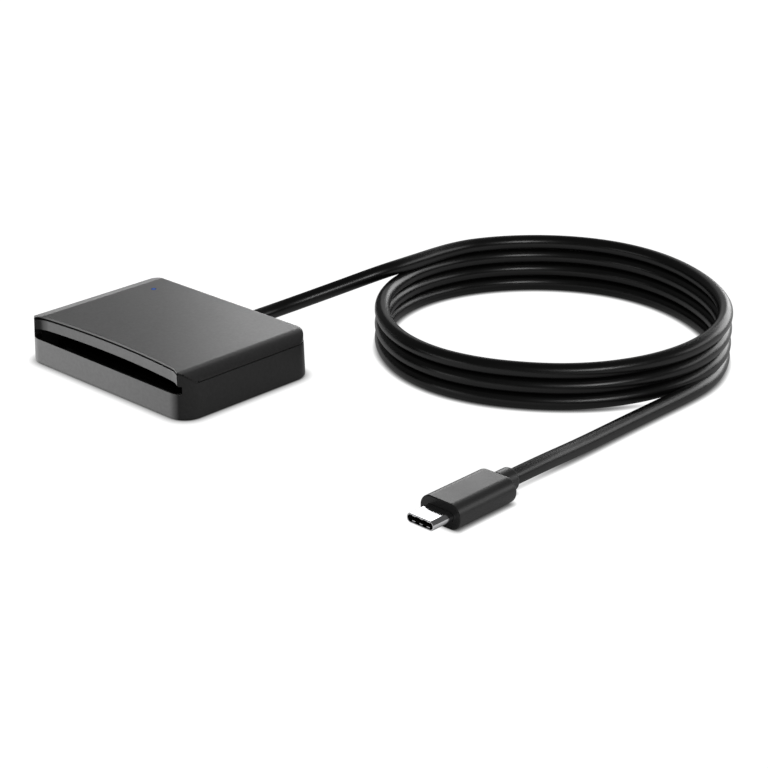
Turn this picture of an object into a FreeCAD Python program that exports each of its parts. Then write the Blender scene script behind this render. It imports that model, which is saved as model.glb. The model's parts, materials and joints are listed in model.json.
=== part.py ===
import FreeCAD, Part
import math
import os
from types import SimpleNamespace

import Sketcher
from FreeCAD import Placement, Rotation, Vector

# Smart card reader with a captive cable that ends in a USB-C plug.
# Millimetres, +Z up. The origin is on the table under the middle of the reader,
# the card slot faces -Y and the cable leaves the back wall.

sizes = {
    # reader housing
    "case_width": 65.3,         # left to right at the base
    "case_depth": 46.2,         # front to back at the base
    "corner_radius": 5.6,       # plan corners at the base
    "case_draft": 1.8,          # degrees that the outer walls lean in
    "foot_stand": 0.3,          # underside above the table
    "seam_height": 9.8,         # rim of the lower case
    "top_height": 13.2,         # flat top of the cover
    "case_wall": 1.7,           # lower case wall at its rim
    "floor_thick": 1.3,         # lower case floor
    "base_round": 0.5,          # rounding round the base
    "cover_inset": 0.1,         # cover edge behind the lower case
    "cover_wall": 2.1,          # cover side wall
    "roof_thick": 1.6,          # cover roof
    "cover_edge": 0.3,          # cover rim over the corner posts
    "seam_gap": 0.25,           # shadow line round the cover
    "back_round": 1.2,          # rounding of the cover's back edge
    # card slot
    "slot_bottom": 7.2,         # top of the low front wall
    "slot_top": 9.35,           # lower edge of the lip
    "slot_wall": 2.15,          # case side beside the slot's ends
    "post_width": 3.05,         # corner posts beside the lip
    "slot_reach": 3.6,          # depth of the slot's end notches
    "recess_depth": 3.8,        # lip behind the front wall, in the middle
    "recess_arc": 250.0,        # plan radius of the lip
    "recess_end_radius": 8.3,   # plan radius at the lip's ends
    "lip_thick": 1.5,
    "lip_gap": 0.3,             # shadow line between lip and cover
    "lip_flange": 4.5,          # flange that the cover holds
    "lip_flange_thick": 0.9,
    "edge_thin": 0.45,          # cover edge over the lip
    "stake_diameter": 2.0,      # pegs that hold the lip to the cover
    "stake_spacing": 36.0,
    # card path
    "rail_inset": 5.35,         # case side to rail, so a 54 mm card has 0.6 mm of play
    "stop_inset": 10.9,         # card stop in front of the back wall
    "rail_thick": 1.8,
    "rail_height": 1.7,         # rail above the card's path
    "deck_thick": 1.7,          # plate that carries the card
    "deck_front": 9.5,          # plate's front edge behind the front wall
    "stop_thick": 0.8,
    "throat_chamfer": 1.2,      # lead-in at the rail ends
    "contact_pitch": 2.54,
    "contact_row_gap": 7.62,
    "contact_from_stop": 11.25,
    "contact_offset": 3.1,      # contact field beside the card's centre line
    "contact_width": 0.9,
    "contact_thick": 0.2,
    "contact_lift": 0.7,        # contact crown above the deck
    "contact_reach": 3.6,       # crown to heel
    "contact_tip": 1.2,         # crown to tip, and the foot's length
    "contact_knee": 0.6,        # top of the riser above the deck's underside
    "window_margin": 0.5,
    # circuit board
    "board_height": 3.2,        # board underside above the table
    "board_thick": 1.0,
    "board_inset": 3.75,        # case side to board
    "board_end_inset": 8.1,     # front and back walls to board
    "tongue_width": 20.0,
    "tongue_end_inset": 5.5,    # back wall to the board's tongue
    "board_post": 4.0,          # case posts under the board
    "board_post_inset": 7.15,
    "board_post_front": 10.6,   # front posts behind the front wall
    "board_post_back": 13.6,    # back posts in front of the back wall
    "board_screw": 1.6,
    "board_screw_head": 3.0,
    "board_screw_depth": 0.9,
    "chip_x": -10.7,
    "chip_y": -6.7,
    "chip_side": 5.0,
    "chip_thick": 0.9,
    "crystal_x": -17.7,
    "crystal_length": 3.2,
    "crystal_width": 2.5,
    "crystal_thick": 0.8,
    "capacitor_x": -15.7,
    "capacitor_y": -1.7,
    "capacitor_pitch": 2.0,
    "capacitor_length": 1.0,
    "capacitor_width": 0.5,
    "capacitor_thick": 0.5,
    "switch_x": -15.7,
    "switch_inset": 3.2,        # switch in front of the stop
    "switch_length": 5.0,
    "switch_width": 1.6,
    # status light
    "led_inset": 10.45,         # case side to light
    "led_end_inset": 9.0,       # back wall to light
    "led_length": 1.6,
    "led_width": 0.8,
    "led_thick": 0.6,
    "pipe_diameter": 1.5,
    "pipe_flange": 2.6,
    "pipe_flange_thick": 0.7,
    "pipe_play": 0.05,
    # fasteners and feet
    "screw_shank": 2.0,
    "screw_head": 3.8,
    "screw_head_thick": 1.3,
    "screw_sink": 0.5,          # head below the underside
    "screw_end_gap": 0.5,       # screw's end under the roof
    "boss_diameter": 5.2,
    "boss_split": 6.0,          # where case and cover bosses meet
    "screw_play": 0.1,
    "foot_diameter": 7.0,
    "foot_seat": 0.5,           # foot let into the underside
    "foot_play": 0.1,
    "foot_inset": 8.05,         # case side to foot, the back ones over the case screws
    "foot_end_inset": 5.4,      # front and back walls to foot
    "lap_thick": 0.8,           # cover tongue inside the case wall
    "lap_depth": 1.2,
    "lap_length": 24.0,
    "lap_play": 0.15,
    # cable, gland and header
    "cable_diameter": 4.2,
    "cable_height": 5.5,
    "gland_neck": 5.6,
    "gland_flange": 6.8,
    "gland_flange_thick": 1.4,
    "gland_boot": 5.0,          # length outside the back wall
    "gland_boot_big": 6.6,
    "gland_boot_small": 5.0,
    "gland_play": 0.1,
    "header_width": 8.0,
    "header_depth": 3.2,
    "header_height": 2.8,
    "header_inset": 8.9,        # header's front face in front of the back wall
    "wire_diameter": 0.9,
    "wire_pitch": 1.5,
    # coil of cable
    "coil_x": 64.7,
    "coil_y": 83.4,
    "coil_radius": 46.5,
    "strand_pitch": 4.25,
    "coil_slack": 0.1,
    "tail_radius": 52.0,
    "tail_turn": 77.0,          # degrees round the coil where the tail leaves
    # plug
    "plug_x": 117.3,
    "plug_front": -20.3,
    "plug_width": 12.2,
    "plug_thick": 6.5,
    "plug_side_radius": 3.1,
    "plug_length": 20.4,
    "plug_back_round": 1.0,
    "plug_front_round": 0.3,
    "collar_diameter": 6.0,
    "collar_length": 4.6,
    "collar_round": 0.8,
    "shell_width": 8.25,
    "shell_thick": 2.4,
    "shell_radius": 1.15,
    "shell_wall": 0.3,
    "shell_length": 6.65,
    "shell_root": 5.0,          # shell inside the moulding
    "shell_play": 0.05,
    "tongue_recess": 0.6,       # insulator behind the shell's mouth
    "tongue_slot_width": 6.7,
    "tongue_slot_height": 0.78,
    "tongue_slot_depth": 5.2,
    "pin_pitch": 0.5,
    "pin_width": 0.25,
    "pin_thick": 0.12,
    "pin_length": 4.0,
    "latch_thick": 0.2,
    "latch_height": 0.5,
    "latch_length": 3.6,
    "spring_width": 0.9,
    "spring_thick": 0.3,
    "spring_length": 1.5,
    "spring_pitch": 2.2,
    "spring_proud": 0.25,
    "spring_play": 0.05,
}

contact_columns = 4
contact_rows = 2
wire_count = 4
pin_count = 12
spring_count = 3
ring_strands = 3
capacitor_count = 6
arc_tangent_share = 0.45
shape_tolerance = 1e-4

# Corners of the two free lengths of cable, as shares of the way across, along and up between their ends.
# The first and last runs go straight along, so the cable meets its neighbours face to face.
reader_route = (
    (0, 0.146, 0),
    (0.133, 0.304, 0.133),
    (0.47, 0.501, 0.48),
    (0.87, 0.696, 0.9),
    (1, 0.854, 1),
)
plug_route = (
    (0, 0.19, 0),
    (0.12, 0.4, 0.12),
    (0.42, 0.64, 0.42),
    (1, 0.86, 1),
)

doc = FreeCAD.newDocument("card_reader")
sheet = doc.addObject("Spreadsheet::Sheet", "Sizes")
for row, (alias, number) in enumerate(sizes.items(), start=1):
    sheet.set(f"A{row}", alias.replace("_", " "))
    sheet.set(f"B{row}", str(number))
    sheet.setAlias(f"B{row}", alias)
doc.recompute()


# A length that carries its value and the sheet formula that gives it.
class Dim:
    def __init__(self, number, formula):
        self.number = float(number)
        self.formula = formula

    def __add__(self, other):
        other = as_dim(other)
        return Dim(self.number + other.number, f"({self.formula} + {other.formula})")

    def __sub__(self, other):
        other = as_dim(other)
        return Dim(self.number - other.number, f"({self.formula} - {other.formula})")

    def __mul__(self, other):
        other = as_dim(other)
        return Dim(self.number * other.number, f"({self.formula} * {other.formula})")

    def __truediv__(self, other):
        other = as_dim(other)
        return Dim(self.number / other.number, f"({self.formula} / {other.formula})")

    def __neg__(self):
        return as_dim(0) - self


def as_dim(value):
    return value if isinstance(value, Dim) else Dim(value, f"{float(value):.6f}")


size = SimpleNamespace(**{alias: Dim(number, f"Sizes.{alias}") for alias, number in sizes.items()})


# Values that several pieces share.
def lean(height):
    rise = height - size.foot_stand
    slope = math.tan(math.radians(size.case_draft.number))
    return Dim(rise.number * slope, f"({rise.formula} * tan(Sizes.case_draft))")


half_width = size.case_width / 2
half_depth = size.case_depth / 2
rim_lean = lean(size.seam_height)
rim_x = half_width - rim_lean
rim_y = half_depth - rim_lean
cover_x = rim_x - size.cover_inset
cover_y = rim_y - size.cover_inset
cover_radius = size.corner_radius - rim_lean - size.cover_inset
cavity_x = rim_x - size.case_wall
cavity_y = rim_y - size.case_wall
cavity_radius = size.corner_radius - rim_lean - size.case_wall
floor_top = size.foot_stand + size.floor_thick
roof_under = size.top_height - size.roof_thick
cover_bottom = size.seam_height + size.seam_gap
shoulder = size.top_height - size.seam_height
shoulder_x = cover_x - shoulder
corner_y = half_depth - size.corner_radius
recess_y = size.recess_depth - half_depth
mouth_x = half_width - size.post_width
slot_x = half_width - size.slot_wall
board_top = size.board_height + size.board_thick
deck_bottom = size.slot_bottom - size.deck_thick
rail_x = half_width - size.rail_inset
stop_y = half_depth - size.stop_inset
board_x = half_width - size.board_inset
board_y = half_depth - size.board_end_inset
board_post_x = half_width - size.board_post_inset
board_post_rows = (size.board_post_front - half_depth, half_depth - size.board_post_back)
led_x = size.led_inset - half_width
led_y = half_depth - size.led_end_inset
foot_x = half_width - size.foot_inset
foot_y = half_depth - size.foot_end_inset
header_front = half_depth - size.header_inset
screw_seat = size.foot_stand + size.screw_sink + size.screw_head_thick
gland_back = half_depth + size.gland_play
strand = size.cable_diameter / 2
plug_axis = size.plug_thick / 2


# Drawing helpers. Sketch points are bound to the sheet, so every outline follows its sizes.
def bind(item, name, value):
    item.setExpression(name, as_dim(value).formula)


def new_body(label):
    body = doc.addObject("PartDesign::Body", label)
    body.Label = label
    return body


def new_sketch(body, name, role, offset=None):
    sketch = body.newObject("Sketcher::SketchObject", f"{body.Label}_{name}")
    plane = next(item for item in body.Origin.OriginFeatures if item.Role == role)
    sketch.AttachmentSupport = (plane, [""])
    sketch.MapMode = "FlatFace"
    if offset is not None:
        bind(sketch, "AttachmentOffset.Base.z", offset)
    return sketch


def set_datum(sketch, kind, *where_and_value):
    *where, value = where_and_value
    value = as_dim(value)
    index = sketch.addConstraint(Sketcher.Constraint(kind, *where, value.number))
    bind(sketch, f"Constraints[{index}]", value)


def place_point(sketch, geometry, point, x, y):
    set_datum(sketch, "DistanceX", -1, 1, geometry, point, x)
    set_datum(sketch, "DistanceY", -1, 1, geometry, point, y)


def flat(x, y):
    return Vector(as_dim(x).number, as_dim(y).number, 0)


def point(x, y, z):
    return Vector(as_dim(x).number, as_dim(y).number, as_dim(z).number)


def add_polygon(sketch, corners):
    count = len(corners)
    lines = []
    for index, corner in enumerate(corners):
        after = corners[(index + 1) % count]
        lines.append(sketch.addGeometry(Part.LineSegment(flat(*corner), flat(*after))))
    for index, corner in enumerate(corners):
        sketch.addConstraint(Sketcher.Constraint("Coincident", lines[index - 1], 2, lines[index], 1))
        place_point(sketch, lines[index], 1, *corner)


def add_rectangle(sketch, left, right, low, high):
    add_polygon(sketch, [(left, low), (right, low), (right, high), (left, high)])


def add_circle(sketch, x, y, diameter):
    radius = as_dim(diameter) / 2
    circle = sketch.addGeometry(Part.Circle(flat(x, y), Vector(0, 0, 1), radius.number))
    place_point(sketch, circle, 3, x, y)
    set_datum(sketch, "Radius", circle, radius)


def add_rounded_rectangle(sketch, left, right, low, high, radius):
    left, right, low, high = (as_dim(value) for value in (left, right, low, high))
    inner = [
        (right - radius, low + radius),
        (right - radius, high - radius),
        (left + radius, high - radius),
        (left + radius, low + radius),
    ]
    arcs = []
    for index, centre in enumerate(inner):
        start = math.radians(90 * (index - 1))
        ring = Part.Circle(flat(*centre), Vector(0, 0, 1), radius.number)
        arcs.append(sketch.addGeometry(Part.ArcOfCircle(ring, start, start + math.pi / 2)))
    sides = []
    for index in range(4):
        here = sketch.Geometry[arcs[index]].EndPoint
        there = sketch.Geometry[arcs[(index + 1) % 4]].StartPoint
        sides.append(sketch.addGeometry(Part.LineSegment(here, there)))
    for index in range(4):
        after = arcs[(index + 1) % 4]
        sketch.addConstraint(Sketcher.Constraint("Tangent", arcs[index], 2, sides[index], 1))
        sketch.addConstraint(Sketcher.Constraint("Tangent", sides[index], 2, after, 1))
        level = "Vertical" if index % 2 == 0 else "Horizontal"
        sketch.addConstraint(Sketcher.Constraint(level, sides[index]))
    for index in range(1, 4):
        sketch.addConstraint(Sketcher.Constraint("Equal", arcs[0], arcs[index]))
    set_datum(sketch, "Radius", arcs[0], radius)
    set_datum(sketch, "DistanceX", -1, 1, sides[0], 1, right)
    set_datum(sketch, "DistanceY", -1, 1, sides[1], 1, high)
    set_datum(sketch, "DistanceX", -1, 1, sides[2], 1, left)
    set_datum(sketch, "DistanceY", -1, 1, sides[3], 1, low)


# Space in front of the lip in plan: a long shallow arc that rounds forward at both ends.
def add_recess(sketch, shift):
    back = recess_y + shift
    main = size.recess_arc + shift
    end = size.recess_end_radius + shift
    side = half_width + shift
    front = -size.case_depth
    centre = Vector(0, back.number - main.number, 0)
    end_x = side.number - end.number
    span = main.number - end.number
    end_y = centre.y + math.sqrt(span * span - end_x * end_x)
    tilt = math.atan2(end_y - centre.y, end_x)
    up = Vector(0, 0, 1)
    big = Part.Circle(centre, up, main.number)
    right = Part.Circle(Vector(end_x, end_y, 0), up, end.number)
    left = Part.Circle(Vector(-end_x, end_y, 0), up, end.number)
    arc = sketch.addGeometry(Part.ArcOfCircle(big, tilt, math.pi - tilt))
    right_arc = sketch.addGeometry(Part.ArcOfCircle(right, 0, tilt))
    left_arc = sketch.addGeometry(Part.ArcOfCircle(left, math.pi - tilt, math.pi))
    corner_right = flat(side, front)
    corner_left = flat(-side, front)
    right_side = sketch.addGeometry(Part.LineSegment(corner_right, Vector(side.number, end_y, 0)))
    left_side = sketch.addGeometry(Part.LineSegment(Vector(-side.number, end_y, 0), corner_left))
    base = sketch.addGeometry(Part.LineSegment(corner_left, corner_right))
    sketch.addConstraint(Sketcher.Constraint("Tangent", right_side, 2, right_arc, 1))
    sketch.addConstraint(Sketcher.Constraint("Tangent", right_arc, 2, arc, 1))
    sketch.addConstraint(Sketcher.Constraint("Tangent", arc, 2, left_arc, 1))
    sketch.addConstraint(Sketcher.Constraint("Tangent", left_arc, 2, left_side, 1))
    sketch.addConstraint(Sketcher.Constraint("Coincident", left_side, 2, base, 1))
    sketch.addConstraint(Sketcher.Constraint("Coincident", base, 2, right_side, 1))
    sketch.addConstraint(Sketcher.Constraint("Vertical", right_side))
    sketch.addConstraint(Sketcher.Constraint("Vertical", left_side))
    place_point(sketch, base, 1, -side, front)
    place_point(sketch, base, 2, side, front)
    set_datum(sketch, "Radius", right_arc, end)
    set_datum(sketch, "Radius", left_arc, end)
    set_datum(sketch, "Radius", arc, main)
    set_datum(sketch, "DistanceY", -1, 1, arc, 3, back - main)


# Section beyond a shoulder's quarter round, on one side: what is cut off above it.
def add_shoulder_cut(sketch, side, centre_z, start_z):
    reach = (shoulder * shoulder).number - ((start_z - centre_z) * (start_z - centre_z)).number
    outer = size.case_width
    above = size.top_height + size.seam_height
    hub = flat(shoulder_x * side, centre_z)
    start = Vector(hub.x + side * math.sqrt(reach), as_dim(start_z).number, 0)
    top = Vector(hub.x, hub.y + shoulder.number, 0)
    low_angle = math.atan2(start.y - hub.y, start.x - hub.x)
    first, last = sorted((low_angle, math.pi / 2))
    ring = Part.Circle(hub, Vector(0, 0, 1), shoulder.number)
    arc = sketch.addGeometry(Part.ArcOfCircle(ring, first, last))
    start_point, top_point = (1, 2) if side > 0 else (2, 1)
    out_low = flat(outer * side, start_z)
    out_high = flat(outer * side, above)
    in_high = flat(shoulder_x * side, above)
    ledge = sketch.addGeometry(Part.LineSegment(start, out_low))
    wall = sketch.addGeometry(Part.LineSegment(out_low, out_high))
    lid = sketch.addGeometry(Part.LineSegment(out_high, in_high))
    drop = sketch.addGeometry(Part.LineSegment(in_high, top))
    sketch.addConstraint(Sketcher.Constraint("Coincident", arc, start_point, ledge, 1))
    sketch.addConstraint(Sketcher.Constraint("Coincident", ledge, 2, wall, 1))
    sketch.addConstraint(Sketcher.Constraint("Coincident", wall, 2, lid, 1))
    sketch.addConstraint(Sketcher.Constraint("Coincident", lid, 2, drop, 1))
    sketch.addConstraint(Sketcher.Constraint("Coincident", drop, 2, arc, top_point))
    sketch.addConstraint(Sketcher.Constraint("Horizontal", ledge))
    sketch.addConstraint(Sketcher.Constraint("Vertical", drop))
    place_point(sketch, arc, 3, shoulder_x * side, centre_z)
    set_datum(sketch, "Radius", arc, shoulder)
    place_point(sketch, wall, 1, outer * side, start_z)
    place_point(sketch, lid, 1, outer * side, above)
    place_point(sketch, drop, 1, shoulder_x * side, above)


# Section under the cover's rim at a corner post: what the post needs free.
def add_post_room(sketch, side, centre_z, inner_x, low_z, ledge_z):
    hub = flat(shoulder_x * side, centre_z)
    radius = shoulder.number
    rise = as_dim(ledge_z).number - hub.y
    ledge_x = hub.x + side * math.sqrt(radius * radius - rise * rise)
    run = inner_x.number * side - hub.x
    inner_z = hub.y + math.sqrt(radius * radius - run * run)
    low_angle = math.atan2(rise, ledge_x - hub.x)
    high_angle = math.atan2(inner_z - hub.y, run)
    first, last = sorted((low_angle, high_angle))
    ring = Part.Circle(hub, Vector(0, 0, 1), radius)
    arc = sketch.addGeometry(Part.ArcOfCircle(ring, first, last))
    low_point, high_point = (1, 2) if side > 0 else (2, 1)
    outer = size.case_width
    on_ledge = Vector(ledge_x, as_dim(ledge_z).number, 0)
    on_inner = Vector(inner_x.number * side, inner_z, 0)
    out_high = flat(outer * side, ledge_z)
    out_low = flat(outer * side, low_z)
    in_low = flat(inner_x * side, low_z)
    ledge = sketch.addGeometry(Part.LineSegment(on_ledge, out_high))
    wall = sketch.addGeometry(Part.LineSegment(out_high, out_low))
    base = sketch.addGeometry(Part.LineSegment(out_low, in_low))
    inside = sketch.addGeometry(Part.LineSegment(in_low, on_inner))
    sketch.addConstraint(Sketcher.Constraint("Coincident", arc, low_point, ledge, 1))
    sketch.addConstraint(Sketcher.Constraint("Coincident", ledge, 2, wall, 1))
    sketch.addConstraint(Sketcher.Constraint("Coincident", wall, 2, base, 1))
    sketch.addConstraint(Sketcher.Constraint("Coincident", base, 2, inside, 1))
    sketch.addConstraint(Sketcher.Constraint("Coincident", inside, 2, arc, high_point))
    sketch.addConstraint(Sketcher.Constraint("Horizontal", ledge))
    sketch.addConstraint(Sketcher.Constraint("Vertical", inside))
    place_point(sketch, arc, 3, shoulder_x * side, centre_z)
    set_datum(sketch, "Radius", arc, shoulder)
    place_point(sketch, wall, 1, outer * side, ledge_z)
    place_point(sketch, base, 1, outer * side, low_z)
    place_point(sketch, inside, 1, inner_x * side, low_z)


# Features.
def add_pad(body, sketch, length, reverse=False):
    pad = body.newObject("PartDesign::Pad", f"{sketch.Name}_pad")
    pad.Profile = sketch
    bind(pad, "Length", length)
    pad.Reversed = reverse
    return pad


def add_pocket(body, sketch, length=None, reverse=False):
    pocket = body.newObject("PartDesign::Pocket", f"{sketch.Name}_cut")
    pocket.Profile = sketch
    if length is None:
        pocket.Type = "ThroughAll"
    else:
        bind(pocket, "Length", length)
    pocket.Reversed = reverse
    return pocket


def add_turn(body, sketch, axis="V_Axis", angle=360):
    turn = body.newObject("PartDesign::Revolution", f"{sketch.Name}_turn")
    turn.Profile = sketch
    turn.ReferenceAxis = (sketch, [axis])
    bind(turn, "Angle", angle)
    return turn


def add_mirror(body, features, role):
    mirror = body.newObject("PartDesign::Mirrored", f"{body.Label}_mirror")
    mirror.Originals = features
    plane = next(item for item in body.Origin.OriginFeatures if item.Role == role)
    mirror.MirrorPlane = (plane, [""])
    body.Tip = mirror
    return mirror


def add_fillet(body, base, radius, chosen):
    doc.recompute()
    names = [f"Edge{index}" for index, edge in enumerate(base.Shape.Edges, start=1) if chosen(edge)]
    fillet = body.newObject("PartDesign::Fillet", f"{base.Name}_round")
    fillet.Base = (base, names)
    bind(fillet, "Radius", radius)
    return fillet


def lies_in(edge, axis, value):
    box = edge.BoundBox
    low, high = {"x": (box.XMin, box.XMax), "y": (box.YMin, box.YMax), "z": (box.ZMin, box.ZMax)}[axis]
    place = as_dim(value).number
    return abs(low - place) < shape_tolerance and abs(high - place) < shape_tolerance


def move(body, x, y, z):
    bind(body, "Placement.Base.x", x)
    bind(body, "Placement.Base.y", y)
    bind(body, "Placement.Base.z", z)


# Lower case: a drafted tray with a low front wall and two tall front corner posts.
def make_bottom_case():
    body = new_body("bottom_case")
    outline = new_sketch(body, "outline", "XY_Plane", size.foot_stand)
    add_rounded_rectangle(outline, -half_width, half_width, -half_depth, half_depth, size.corner_radius)
    block = add_pad(body, outline, size.top_height - size.foot_stand)
    bind(block, "TaperAngle", -size.case_draft)
    add_fillet(body, block, size.base_round, lambda edge: lies_in(edge, "z", size.foot_stand))

    rim = new_sketch(body, "rim", "XY_Plane", size.seam_height)
    add_rectangle(rim, -size.case_width, size.case_width, -corner_y, size.case_depth)
    add_pocket(body, rim, reverse=True)

    post_tops = new_sketch(body, "post_tops", "XZ_Plane", size.case_depth)
    for side in (1, -1):
        post_hub = size.seam_height - size.cover_edge - size.seam_gap
        add_shoulder_cut(post_tops, side, post_hub, size.seam_height)
    add_pocket(body, post_tops)

    mouth = new_sketch(body, "mouth", "XZ_Plane", size.case_depth)
    add_rectangle(mouth, -mouth_x, mouth_x, size.slot_top, size.top_height + size.seam_height)
    add_pocket(body, mouth, size.case_depth - corner_y)

    slot = new_sketch(body, "slot", "XZ_Plane", half_depth)
    add_rectangle(slot, -slot_x, slot_x, size.slot_bottom, size.slot_top)
    add_pocket(body, slot, size.slot_reach)

    cavity = new_sketch(body, "cavity", "XY_Plane", floor_top)
    add_rounded_rectangle(cavity, -cavity_x, cavity_x, -cavity_y, cavity_y, cavity_radius)
    add_pocket(body, cavity, reverse=True)

    posts = new_sketch(body, "board_posts", "XY_Plane", floor_top)
    pilots = new_sketch(body, "board_pilots", "XY_Plane", size.board_height)
    for side in (1, -1):
        for y in board_post_rows:
            add_circle(posts, board_post_x * side, y, size.board_post)
            add_circle(pilots, board_post_x * side, y, size.board_screw)
    add_pad(body, posts, size.board_height - floor_top)
    add_pocket(body, pilots, size.board_height - floor_top)

    bosses = new_sketch(body, "screw_bosses", "XY_Plane", floor_top)
    bores = new_sketch(body, "screw_bores", "XY_Plane", size.foot_stand)
    sinks = new_sketch(body, "screw_sinks", "XY_Plane", size.foot_stand)
    for side in (1, -1):
        add_circle(bosses, foot_x * side, foot_y, size.boss_diameter)
        add_circle(bores, foot_x * side, foot_y, size.screw_shank + size.screw_play * 2)
        add_circle(sinks, foot_x * side, foot_y, size.screw_head + size.screw_play * 2)
    add_pad(body, bosses, size.boss_split - floor_top)
    add_pocket(body, bores, size.boss_split, reverse=True)
    add_pocket(body, sinks, size.screw_sink + size.screw_head_thick, reverse=True)

    seats = new_sketch(body, "foot_seats", "XY_Plane", size.foot_stand)
    for side in (1, -1):
        for end in (1, -1):
            add_circle(seats, foot_x * side, foot_y * end, size.foot_diameter + size.foot_play * 2)
    add_pocket(body, seats, size.foot_seat, reverse=True)

    hole_width = size.gland_neck + size.gland_play * 2
    notch = new_sketch(body, "cable_notch", "XZ_Plane", -cavity_y + size.case_wall)
    add_rectangle(notch, -hole_width / 2, hole_width / 2, size.cable_height, size.top_height)
    add_pocket(body, notch, size.case_depth)
    hole = new_sketch(body, "cable_hole", "XZ_Plane", -cavity_y + size.case_wall)
    add_circle(hole, 0, size.cable_height, hole_width)
    add_pocket(body, hole, size.case_depth)
    return body


# Cover: a roof with quarter-round shoulders, cut back at the front along the lip.
def make_top_cover():
    body = new_body("top_cover")
    outline = new_sketch(body, "outline", "XY_Plane", cover_bottom)
    add_rounded_rectangle(outline, -cover_x, cover_x, -cover_y, cover_y, cover_radius)
    add_pad(body, outline, size.top_height - cover_bottom)

    shoulders = new_sketch(body, "shoulders", "XZ_Plane", size.case_depth)
    for side in (1, -1):
        add_shoulder_cut(shoulders, side, size.seam_height, size.seam_height)
    rounded = add_pocket(body, shoulders)

    add_fillet(
        body, rounded, size.back_round,
        lambda edge: lies_in(edge, "z", size.top_height) and lies_in(edge, "y", cover_y),
    )

    recess = new_sketch(body, "recess", "XY_Plane", size.top_height)
    add_recess(recess, as_dim(0))
    add_pocket(body, recess)

    cavity = new_sketch(body, "cavity", "XY_Plane", roof_under)
    inside = cover_x - size.cover_wall
    add_rounded_rectangle(
        cavity, -inside, inside, -size.case_depth, cover_y - size.cover_wall, cover_radius - size.cover_wall,
    )
    add_pocket(body, cavity)

    rebate = new_sketch(body, "rebate", "XY_Plane", size.top_height - size.edge_thin)
    add_recess(rebate, size.lip_thick + size.lip_gap)
    add_pocket(body, rebate)

    room = new_sketch(body, "post_room", "XZ_Plane", size.case_depth)
    for side in (1, -1):
        add_post_room(
            room, side, size.seam_height - size.cover_edge, mouth_x - size.seam_gap,
            size.seam_height - size.seam_gap, cover_bottom + size.cover_edge,
        )
    add_pocket(body, room, size.case_depth - corner_y + size.seam_gap)

    laps = new_sketch(body, "laps", "XY_Plane", size.seam_height - size.lap_depth)
    lap_outer = cavity_x - size.lap_play
    for side in (1, -1):
        inner, outer = sorted(((lap_outer - size.lap_thick) * side, lap_outer * side), key=lambda d: d.number)
        add_rectangle(laps, inner, outer, -size.lap_length / 2, size.lap_length / 2)
    add_pad(body, laps, roof_under - size.seam_height + size.lap_depth)

    bosses = new_sketch(body, "screw_bosses", "XY_Plane", size.boss_split)
    pilots = new_sketch(body, "screw_pilots", "XY_Plane", size.boss_split)
    for side in (1, -1):
        add_circle(bosses, foot_x * side, foot_y, size.boss_diameter)
        add_circle(pilots, foot_x * side, foot_y, size.screw_shank + size.screw_play)
    add_pad(body, bosses, roof_under - size.boss_split)
    add_pocket(body, pilots, roof_under - size.boss_split, reverse=True)

    stakes = new_sketch(body, "lip_stakes", "XY_Plane", roof_under - size.lip_flange_thick)
    for side in (1, -1):
        add_circle(stakes, size.stake_spacing / 2 * side, lip_hole_y(), size.stake_diameter)
    add_pad(body, stakes, size.lip_flange_thick)

    neck = size.gland_neck / 2
    neck_top = size.cable_height + neck + size.gland_play
    tongue = new_sketch(body, "gland_tongue", "XY_Plane", neck_top)
    add_rectangle(tongue, -neck, neck, cavity_y, cavity_y + size.case_wall)
    add_pad(body, tongue, cover_bottom - neck_top)

    hole = new_sketch(body, "led_hole", "XY_Plane", size.top_height)
    add_circle(hole, led_x, led_y, size.pipe_diameter + size.pipe_play * 2)
    add_pocket(body, hole)
    return body


# Lip over the slot: a curved strip with a flange that the cover's pegs hold.
def lip_hole_y():
    return recess_y + size.lip_thick + size.lip_flange / 2


def make_slot_lip():
    body = new_body("slot_lip")
    end_x = mouth_x - size.seam_gap
    strip_top = size.top_height - size.edge_thin - size.lip_gap
    strip = new_sketch(body, "strip", "XY_Plane", size.slot_top)
    add_recess(strip, size.lip_thick)
    add_pad(body, strip, strip_top - size.slot_top)

    face = new_sketch(body, "face", "XY_Plane", strip_top)
    add_recess(face, as_dim(0))
    add_pocket(body, face)

    ends = new_sketch(body, "ends", "XY_Plane", strip_top)
    for side in (1, -1):
        inner, outer = sorted((end_x * side, size.case_width * side), key=lambda d: d.number)
        add_rectangle(ends, inner, outer, -size.case_depth * 2, 0)
    add_pocket(body, ends)

    flange = new_sketch(body, "flange", "XY_Plane", roof_under - size.lip_flange_thick)
    flange_x = size.stake_spacing / 2 + size.stake_diameter * 2
    flange_front = recess_y + size.lip_thick / 2
    flange_back = recess_y + size.lip_thick + size.lip_flange
    add_rectangle(flange, -flange_x, flange_x, flange_front, flange_back)
    add_pad(body, flange, size.lip_flange_thick)

    holes = new_sketch(body, "stake_holes", "XY_Plane", roof_under)
    for side in (1, -1):
        add_circle(
            holes, size.stake_spacing / 2 * side, lip_hole_y(), size.stake_diameter + size.pipe_play * 2,
        )
    add_pocket(body, holes)
    return body


# Circuit board with a tongue at the back that carries the cable's header.
def make_circuit_board():
    body = new_body("circuit_board")
    outline = new_sketch(body, "outline", "XY_Plane", size.board_height)
    narrow = size.tongue_width / 2
    tongue_y = half_depth - size.tongue_end_inset
    add_polygon(outline, [
        (-board_x, -board_y), (board_x, -board_y), (board_x, board_y),
        (narrow, board_y), (narrow, tongue_y), (-narrow, tongue_y),
        (-narrow, board_y), (-board_x, board_y),
    ])
    add_pad(body, outline, size.board_thick)
    holes = new_sketch(body, "holes", "XY_Plane", board_top)
    for side in (1, -1):
        for y in board_post_rows:
            add_circle(holes, board_post_x * side, y, size.board_screw)
    add_pocket(body, holes)
    return body


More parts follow.
